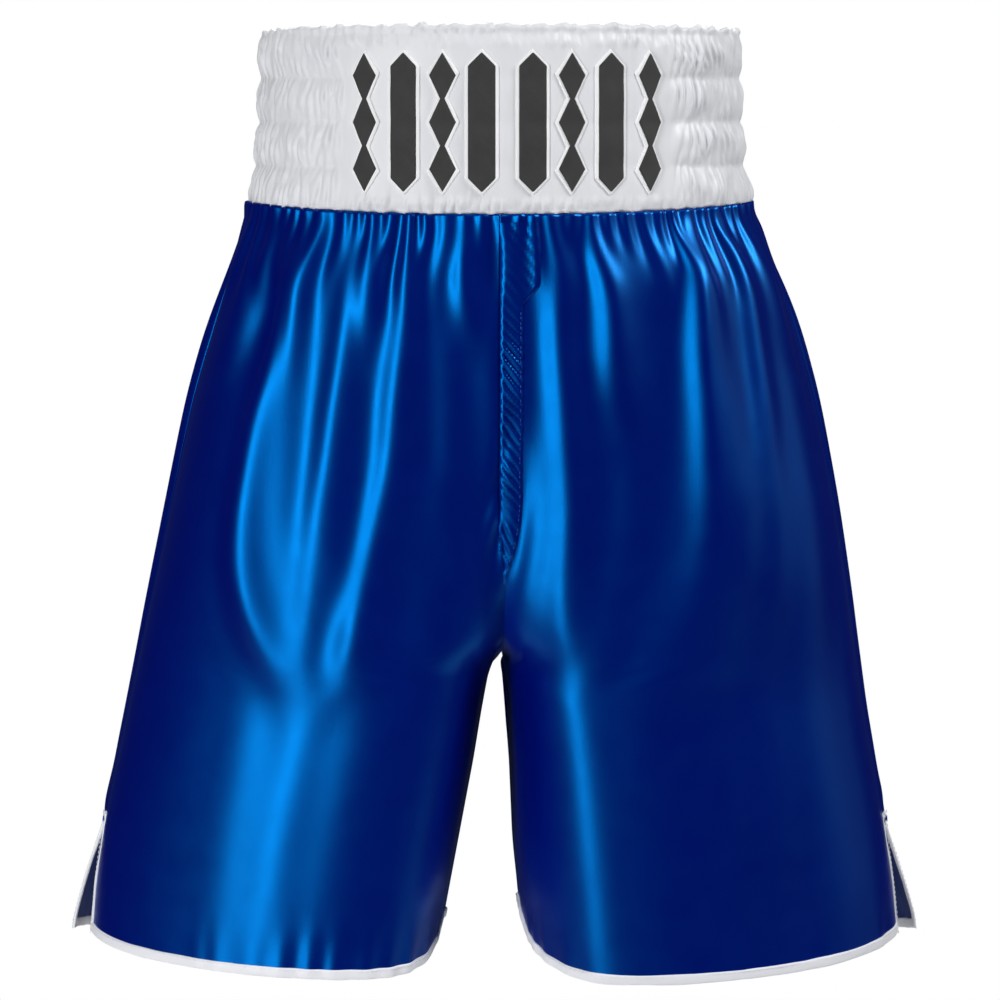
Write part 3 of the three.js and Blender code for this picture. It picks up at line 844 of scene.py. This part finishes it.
class Band:
    """a face of the waistband: how far it stands out from the CAD's ellipse, around and down"""

    def __init__(self, rng, inward=False):
        self.angles, self.length = ellipse_angles()
        n, m = BAND_COLUMNS, BAND_ROWS
        self.drop = np.linspace(0, 1, m + 1)
        angle = self.angles[:-1, None]
        x, y = TOP_WIDTH * np.cos(angle), TOP_DEPTH * np.sin(angle)
        frill = 0.5 * MM * noise_field(rng, n, 1, self.length, 1, 14 * MM, 0, 0)
        self.top = -1.5 * MM - 2 * MM * ((x / TOP_WIDTH) ** 2) ** 2 + frill
        self.foot = -BAND + SEAM_TUCK + seam_lift(x) + 0.4 * frill
        z = self.top + (self.foot - self.top) * self.drop
        flat = 0 if inward else motif_zone(x, y, z)
        channel = (-z - HEADER) / CHANNEL
        inside = np.clip(channel - np.floor(channel), 0, 1)
        held = np.clip(np.abs(np.sin(np.pi * inside)), 0, 1)
        size = (n, m + 1, self.length, BAND)
        common = puckers(rng, *size, 7.0 * MM, 40 * MM, 0.0)
        wide = noise_field(rng, *size, 30 * MM, 20 * MM, 0.0)
        lift = np.zeros((n, m + 1))
        for k in range(-1, CHANNELS + 1):
            own = puckers(rng, *size, 5.5 * MM, 20 * MM, rng.uniform(-0.4, 0.4))
            lift += (np.floor(channel) == k) * (0.55 * common + 0.45 * own)
        puff = BULGE * held ** 0.8 * (1 + 0.22 * wide)
        creases = 1.5 * MM * lift * (0.30 + 0.70 * held ** 0.5)
        rise = (puff * (1 - 0.75 * flat) + creases * (1 - 0.93 * flat)) + 0.4 * MM * flat - SLIM * (1 - flat)
        self.rise = soften(np.concatenate([rise[-3:], rise, rise[:3]]), 1)[3:-3]
        self.inward = inward

    def wall(self, angle, z):
        """a point of the smooth ellipse and its outward direction"""
        drop = np.clip(-z / BAND, 0, 1.05)
        a, b = band_ellipse(drop)
        point = np.stack([a * np.cos(angle), b * np.sin(angle), z], axis=-1)
        out = np.stack([b * np.cos(angle), a * np.sin(angle), 0 * z], axis=-1)
        return point, out / np.linalg.norm(out, axis=-1, keepdims=True)

    def grid(self):
        """points (column, row, xyz) of the face"""
        z = self.top + (self.foot - self.top) * self.drop
        point, out = self.wall(self.angles[:-1, None] + 0 * self.drop, z)
        lift = -WALL - self.rise * 0.8 if self.inward else self.rise
        return point + out * lift[..., None]

    def at(self, x, z, lift):
        """points on the front of the face at x and z, lifted off it"""
        a, _ = band_ellipse(np.clip(-z / BAND, 0, 1))
        angle = 2 * np.pi - np.arccos(np.clip(x / a, -1, 1))
        column = np.interp(angle, self.angles, np.arange(BAND_COLUMNS + 1)) % BAND_COLUMNS
        i = column.astype(int)
        top, foot = self.top[i, 0], self.foot[i, 0]
        row = np.clip((z - top) / (foot - top), 0, 1) * BAND_ROWS
        j = np.minimum(row.astype(int), BAND_ROWS - 1)
        fi, fj, k = column - i, row - j, (i + 1) % BAND_COLUMNS
        rise = ((self.rise[i, j] * (1 - fj) + self.rise[i, j + 1] * fj) * (1 - fi)
                + (self.rise[k, j] * (1 - fj) + self.rise[k, j + 1] * fj) * fi)
        point, out = self.wall(angle, z)
        return point + out * (rise + lift)[..., None]


def band_texture(band, grid):
    """texture points of a band grid: the way around and the way down, in metres"""
    around = np.linspace(0, band.length, grid.shape[0])
    down = running(length_steps(grid, 1), 1)
    return np.stack([around[:, None] + 0 * down, down], axis=-1)


def build_waistband():
    band = Band(np.random.default_rng(SEED + 2))
    lining = Band(np.random.default_rng(SEED + 3), inward=True)
    face, inner = band.grid(), lining.grid()
    # the cloth turns over the top edge and meets the lining
    middle, reach = (face[:, 0] + inner[:, 0]) / 2, (face[:, 0] - inner[:, 0]) / 2
    up = np.array([0, 0, 1.0]) * np.linalg.norm(reach, axis=1, keepdims=True)
    roll = [middle + reach * math.cos(a) + up * math.sin(a) for a in np.linspace(0, math.pi, 9)[1:-1]]
    tuck = face[:, -1] + (inner[:, -1] - face[:, -1]) * 0.45 + np.array([0, 0, 0.6 * MM])
    outer = np.concatenate([np.stack(roll[::-1], axis=1), face, tuck[:, None]], axis=1)
    outer_piece = close_around("waistband_face", outer, band)
    finish_piece(outer_piece, white_satin, ("waistband_outer",))
    inner = np.concatenate([inner[:, ::-1], roll[-1][:, None]], axis=1)
    inner_piece = close_around("waistband_inside", inner, band)
    finish_piece(inner_piece, white_satin, ("waistband_lining",))
    return band, outer_piece, inner_piece


def close_around(name, grid, band):
    """a band of cloth whose last column is sewn to its first"""
    grid = np.concatenate([grid, grid[:1]])
    return grid_piece(name, grid, band_texture(band, grid))


# ---------------------------------------------------------------- motifs applied to the band
def bar_half(height, width, z):
    """half width at z of an upright bar with pointed ends"""
    return np.clip(height / 2 - np.abs(z), 0, width / 2)


def diamonds_half(height, width, z, neck, count=3):
    """half width at z of diamonds joined point to point by a short neck"""
    place = (height / 2 - z) / height * count
    peak = 1 - np.abs(2 * (place - np.floor(place)) - 1)
    inner = np.where((place < 0.5) | (place > count - 0.5), 0, neck / 2)
    return inner + (width / 2 - inner) * np.clip(peak, 0, 1)


PATCH_WIDTH = 16 * MM
PATCH_HEIGHT = min(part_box(name)[1][2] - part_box(name)[0][2] for name in MOTIFS)
NECK = 3 * MM                     # between diamonds
BACKING = 0.7 * MM                # thickness of the white cloth, and of the black one on it
TACKLE = 0.6 * MM
PATCH_GRID = (15, 97)             # points across and down a patch


def applied_patch(name, band, is_bar, thickness, under, material):
    """a cloth patch with a rolled edge, lying on the front of the band over the layer below it"""
    low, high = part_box(name)
    centre, middle = (low[0] + high[0]) / 2, (low[2] + high[2]) / 2
    height = high[2] - low[2]
    border = height - PATCH_HEIGHT
    tip = height / 2 - 0.01 * MM
    z = np.linspace(tip, -tip, PATCH_GRID[1])
    width = PATCH_WIDTH + border
    half = bar_half(height, width, z) if is_bar else diamonds_half(height, width, z, NECK + border)
    side = np.sin(np.linspace(-1, 1, PATCH_GRID[0]) * math.pi / 2)[:, None]
    across = side * half
    edge = np.minimum(half * (1 - np.abs(side)), height / 2 - np.abs(z))
    rolled = np.sqrt(np.clip(1 - (1 - np.clip(edge / thickness, 0, 1)) ** 2, 0, 1))
    foot = -0.5 * MM
    lift = foot + (under + thickness - foot) * rolled
    slope = math.cos(math.asin(centre / LOW_WIDTH))
    points = band.at(centre + across * slope, middle + z + 0 * across, lift)
    texture = np.stack([across, z + 0 * across], axis=-1)
    piece = grid_piece(name + "_patch", points[:, ::-1], texture[:, ::-1])
    return finish_piece(piece, material, (name,))


def build_motifs(band):
    """bars and stacked diamonds by turns, outwards from the middle of the band"""
    made = []
    under = 0.4 * MM
    each_side = len(MOTIFS) // 2
    for k, (motif, border) in enumerate(zip(MOTIFS, BORDERS)):
        step = each_side - 1 - k if k < each_side else k - each_side
        is_bar = step % 2 == 0
        made.append(applied_patch(border, band, is_bar, BACKING, under, white_twill))
        made.append(applied_patch(motif, band, is_bar, TACKLE, under + BACKING, black_twill))
    return made


# ---------------------------------------------------------------- bindings
TAPE_PITCH = 1.6 * MM             # between a tape's cross sections
HEM_THICK, VENT_THICK = 2.0 * MM, 1.8 * MM


def rounded_box(corners, square=0.55):
    """points (2, corners) of a rounded square of half size 1, and their angles"""
    turn = np.linspace(0, 2 * np.pi, corners, endpoint=False)
    return np.stack([np.sign(f(turn)) * np.abs(f(turn)) ** square for f in (np.cos, np.sin)]), turn


def tape(name, line, outward, normal, centre, thickness, material, replaces, seed):
    """a folded tape along an edge. outward points off the cloth, and centre is how far off the edge its
    middle is"""
    rng = np.random.default_rng(seed)
    points, at = resample(line, TAPE_PITCH)
    outward, normal = unit(along(line, outward, at), 1), unit(along(line, normal, at), 1)
    knots = max(4, int(at[-1] / (7 * MM)))
    wide = 1 + 0.05 * wander(rng, len(at), knots)
    thick = 1 + 0.14 * wander(rng, len(at), knots)
    sway = 0.25 * MM * wander(rng, len(at), max(4, knots // 2))
    section, turn = rounded_box(16)
    off = centre + section[0] * TAPE / 2 * wide[:, None]
    up = section[1] * thickness / 2 * thick[:, None] + sway[:, None]
    grid = points[:, None] + outward[:, None] * off[..., None] + normal[:, None] * up[..., None]
    around = running(length_steps((section * [[TAPE / 2], [thickness / 2]]).T))
    texture = np.stack([at[:, None] + 0 * turn, around + 0 * at[:, None]], axis=-1)
    faces = tube_faces(len(at), len(turn))
    if (np.cross(outward, normal) * unit(np.gradient(points, axis=0), 1)).sum(axis=1).mean() > 0:
        faces = [face[::-1] for face in faces]
    piece = mesh_piece(name, grid.reshape(-1, 3), faces, texture.reshape(-1, 2))
    return finish_piece(piece, material, replaces)


# One stitch, end to end: places along it, how high it arches there and how thick it is there.
STITCH_AT = np.array([-1.0, -0.6, 0.0, 0.6, 1.0])
STITCH_ARCH = np.array([-0.6, 0.5, 1.0, 0.5, -0.6])
STITCH_SIZE = np.array([0.45, 0.9, 1.0, 0.9, 0.45])
STITCH_CORNERS = 6
THREAD = 0.42 * MM


def stitches(name, line, normal, lift, pitch, length, material, width=THREAD):
    """a row of short raised threads along a line on a surface"""
    points, at = resample(line, pitch)
    normal = unit(along(line, normal, at), 1)
    forward = unit(np.gradient(points, axis=0), 1)
    beside = np.cross(forward, normal)
    turn = np.linspace(0, 2 * np.pi, STITCH_CORNERS, endpoint=False)
    core = (points[:, None] + forward[:, None] * (STITCH_AT[:, None] * length / 2)
            + normal[:, None] * (lift + STITCH_ARCH[:, None] * width / 2))
    ring = np.cos(turn)[:, None] * beside[:, None, None] + np.sin(turn)[:, None] * normal[:, None, None]
    grid = core[:, :, None] + ring * STITCH_SIZE[:, None, None] * width / 2
    rings = len(STITCH_AT)
    faces = [face for k in range(len(points))
             for face in tube_faces(rings, STITCH_CORNERS, k * rings * STITCH_CORNERS)]
    place = at[:, None, None] + STITCH_AT[:, None] * length / 2
    texture = np.stack(np.broadcast_arrays(place, turn * width / 2), axis=-1)
    piece = mesh_piece(name, grid.reshape(-1, 3), faces, texture.reshape(-1, 2))
    return finish_piece(piece, material)


def reach_past(line, distance):
    """a line carried straight on past its last point"""
    last = line[-1:] - line[-2:-1]
    return np.concatenate([line, line[-1:] + last * distance / np.linalg.norm(last)])


def build_bindings(cloth, P):
    """the tapes round each hem and each side of each vent, with their stitching"""
    made = {name: [] for name in PANELS}
    vent = slice(cloth.vent - 1, None)
    edges = {
        "hem": ((ALL, -1), unit(np.gradient(P, axis=3)), TAPE_OVERLAP - TAPE / 2, HEM_THICK),
        "vent": ((-1, vent), unit(np.gradient(P, axis=2)), 0.2 * TAPE - TAPE / 2, VENT_THICK),
    }
    normal = cloth.outward(P)
    for p, name in enumerate(PANELS):
        for k, (edge, (where, outward, centre, thickness)) in enumerate(edges.items()):
            line, out, up = (field[(ALL, p, *where)].T for field in (P, outward, normal))
            if edge == "vent":
                line = reach_past(line, TAPE_OVERLAP)
                out, up = (np.concatenate([field, field[-1:]]) for field in (out, up))
            made[name].append(tape(f"{name}_{edge}_tape", line, out, up, centre, thickness, white_tape,
                                   (f"{name}_{edge}_binding",), SEED + 10 + 4 * k + p))
            seam = line + unit(out, 1) * (centre - 0.32 * TAPE)
            lift = 1.05 * MM * thickness / HEM_THICK
            made[name].append(stitches(f"{name}_{edge}_stitches", seam, up, lift, 3.0 * MM, 2.2 * MM,
                                       white_thread))
    return made


# ---------------------------------------------------------------- rise strips, tacks and label
def on_panel(cloth, P, p, distance, row, lift):
    """points of a panel at distances from its rise edge along fractional rows, lifted off the cloth"""
    lengths = running(np.linalg.norm(np.diff(P[:, p], axis=1), axis=0))
    normal = cloth.outward(P)[:, p]
    above = np.clip(row.astype(int), 0, cloth.rows - 1)
    part = row - above
    out = np.zeros(distance.shape + (3,))
    for k, (away, high) in enumerate(zip(distance.T, lift.T)):
        for j, weight in ((above[k], 1 - part[k]), (above[k] + 1, part[k])):
            for axis in range(3):
                point = np.interp(away, lengths[:, j], P[axis, p, :, j])
                upward = np.interp(away, lengths[:, j], normal[axis, :, j])
                out[:, k, axis] += weight * (point + high * upward)
    return out


STRIP_WIDTH, FACING = 12 * MM, 10 * MM    # the facing widens the top of the front strip only
FACING_SHARE = 0.20               # of the strip's length
STRIP_PITCH, STRIP_SLANT = 7.0 * MM, 1.1  # of the puckers across it
STRIP_GRID = (14, 150)
STRIP_SEWN = slice(int(FACING_SHARE * STRIP_GRID[1]), -14)


def build_rise_strip(cloth, P, p, node_name, seed):
    """the seam allowance pressed to one side of the rise and topstitched down, puckered by its stitching"""
    rng = np.random.default_rng(seed)
    low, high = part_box(node_name)
    columns, rows = STRIP_GRID
    z = np.linspace(high[2] + 38 * MM, low[2] - 24 * MM, rows)
    row = np.interp(-z, -P[2, p, 0, :cloth.crotch + 1], np.arange(cloth.crotch + 1))
    down = np.linspace(0, 1, rows)
    side = np.linspace(0, 1, columns)[:, None]
    taper = np.clip((1 - down) / 0.10, 0, 1) ** 0.5
    facing = FACING * (1 - IS_BACK[p]) * smooth_step((FACING_SHARE - down) / 0.06)
    wide = (STRIP_WIDTH + facing) * taper + 1.5 * MM
    distance = side * wide
    phase = 2 * np.pi * (-z[None, :] - distance * STRIP_SLANT) / STRIP_PITCH + 1.3 * wander(rng, rows, 24)
    size = (0.45 + 0.55 * smooth_step((down - FACING_SHARE) / 0.08)) * (0.75 + 0.35 * wander(rng, rows, 30))
    pucker = 1.1 * MM * size * np.cos(phase) * np.sin(np.pi * np.clip(side, 0.04, 0.96)) ** 0.6
    edge = np.minimum(side, 1 - side) * wide
    lift = 0.2 * MM + 1.3 * MM * np.sqrt(np.clip(edge / (1.2 * MM), 0, 1)) + pucker
    grid = on_panel(cloth, P, p, distance, row, lift)
    texture = np.stack([distance, -z + 0 * distance], axis=-1)
    strip = grid_piece(node_name + "_cloth", grid[facing_out(p)], texture[facing_out(p)])
    finish_piece(strip, blue_satin, (node_name,))
    seam = on_panel(cloth, P, p, (wide - 1.6 * MM)[None], row, np.full((1, rows), 1.25 * MM))[0]
    up = np.tile([0.0, FACE[p], 0.0], (rows, 1))
    sewn = stitches(node_name + "_stitches", seam[STRIP_SEWN], up[STRIP_SEWN], 0, 2.8 * MM, 2.1 * MM,
                    blue_thread)
    return [strip, sewn]


def build_bar_tack(cloth, P, p, name):
    """close wraps of thread across the top of a side vent"""
    half, tall, count = 4.5 * MM, 6, 21
    middle = P[:, p, -1, cloth.vent]
    out = np.array([SIDE[p], 0, 0], float)
    ahead = np.array([0, 1, 0], float)
    line = middle + np.linspace(-1, 1, count)[:, None] * ahead * half + out * 0.6 * MM
    wraps = stitches(name + "_thread", line, np.tile(out, (count, 1)), 0.3 * MM, 0.45 * MM, 0.42 * MM,
                     blue_thread, width=0.5 * MM)
    points = vertices(wraps.data)
    points[:, 2] = middle[2] + (points[:, 2] - middle[2]) * tall
    wraps.data.vertices.foreach_set("co", points.ravel())
    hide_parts(name)
    return wraps


def build_label():
    """a blank woven label, sewn in at its top edge and curling a little at its foot"""
    low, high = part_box("care_label")
    across, down = np.meshgrid(np.linspace(-1, 1, 25), np.linspace(0, 1, 33), indexing="ij")
    x = across * (high[0] - low[0]) / 2
    z = high[2] + (low[2] - high[2]) * down
    curl = -2.2 * MM * down ** 2 - 1.0 * MM * across ** 2 * down
    y = (low[1] + high[1]) / 2 + curl + 0.5 * MM * np.sin(3 * across + 2 * down)
    label = grid_piece("care_label_cloth", np.stack([x, y, z], axis=-1), np.stack([x, z], axis=-1))
    finish_piece(label, label_satin, ("care_label",))
    thicken(label, 0.4 * MM, 0)
    return label


def dress_node(name, material):
    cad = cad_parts[name]
    if not cad.material_slots:
        cad.data.materials.append(material)
    for slot in cad.material_slots:
        slot.link = "OBJECT"
        slot.material = material


ELASTICS = [f"elastic_{k}" for k in range(1, CHANNELS + 1)]
band, band_face, band_inside = build_waistband()
patches = build_motifs(band)
sewn = build_bindings(cloth, P)
sewn["front_left"] += build_rise_strip(cloth, P, FRONT_LEFT, "front_rise_strip", SEED + 30)
sewn["back_left"] += build_rise_strip(cloth, P, BACK_LEFT, "back_rise_strip", SEED + 31)
sewn["front_left"].append(build_bar_tack(cloth, P, FRONT_LEFT, "vent_bar_tack_left"))
sewn["front_right"].append(build_bar_tack(cloth, P, FRONT_RIGHT, "vent_bar_tack_right"))
label = build_label()
for name in ELASTICS:
    dress_node(name, elastic_braid)


# ---------------------------------------------------------------- floor, light and camera
def stage_floor():
    """a plain pale floor well below the shorts, ending just short of the camera's view of them"""
    depth, half, near, far = -1.25, 1.5, -1.0, 1.5
    corners = [(-half, near, depth), (half, near, depth), (half, far, depth), (-half, far, depth)]
    floor = mesh_piece("floor", corners, [(0, 1, 2, 3)])
    look = Look("floor_white", (0.84, 0.84, 0.85), (0.88, 0.88, 0.88), 3, on_cloth=False)
    look.set(Roughness=0.85)
    floor.data.materials.append(look.material)


def world_light(seen=1.0, given=0.02):
    """a white studio: bright where the camera sees it, dim as a light"""
    world = bpy.data.worlds.new("studio")
    bpy.context.scene.world = world
    world.use_nodes = True
    nodes, links = world.node_tree.nodes, world.node_tree.links
    path = nodes.new("ShaderNodeLightPath")
    level = nodes.new("ShaderNodeMapRange")
    level.inputs["To Min"].default_value = given
    level.inputs["To Max"].default_value = seen
    links.new(path.outputs["Is Camera Ray"], level.inputs["Value"])
    links.new(level.outputs["Result"], nodes["Background"].inputs["Strength"])
    nodes["Background"].inputs["Color"].default_value = (1, 1, 1, 1)


def place_facing(name, data, place, target):
    """a new object at a place, facing a target"""
    item = bpy.data.objects.new(name, data)
    bpy.context.scene.collection.objects.link(item)
    item.location = place
    item.rotation_euler = (Vector(target) - Vector(place)).to_track_quat("-Z", "Y").to_euler()
    return item


def softbox(name, place, size, power):
    light = bpy.data.lights.new(name, "AREA")
    light.shape = "RECTANGLE"
    light.size, light.size_y, light.energy = *size, power
    place_facing(name, light, place, (0, 0, -0.3))


def camera(distance=2.5, width=0.595):
    lens = bpy.data.cameras.new("camera")
    lens.sensor_width = 36
    lens.lens = lens.sensor_width * distance / width
    lens.clip_end = 100
    bpy.context.scene.camera = place_facing("camera", lens, (0, -distance, -0.05), (0, 0, -0.28))


stage_floor()
world_light()
softbox("key", (-1.25, -1.68, -0.05), (0.45, 2.0), 36)
softbox("fill", (2.1, -0.10, 0.1), (1.0, 1.8), 2)
softbox("high", (2.2, -0.90, 1.5), (0.9, 0.9), 62)
softbox("top", (0, -0.6, 2.0), (1.6, 0.8), 6)
softbox("behind", (-0.4, 1.6, 1.7), (1.8, 0.9), 45)
camera()
bpy.context.scene.view_settings.view_transform = "Standard"
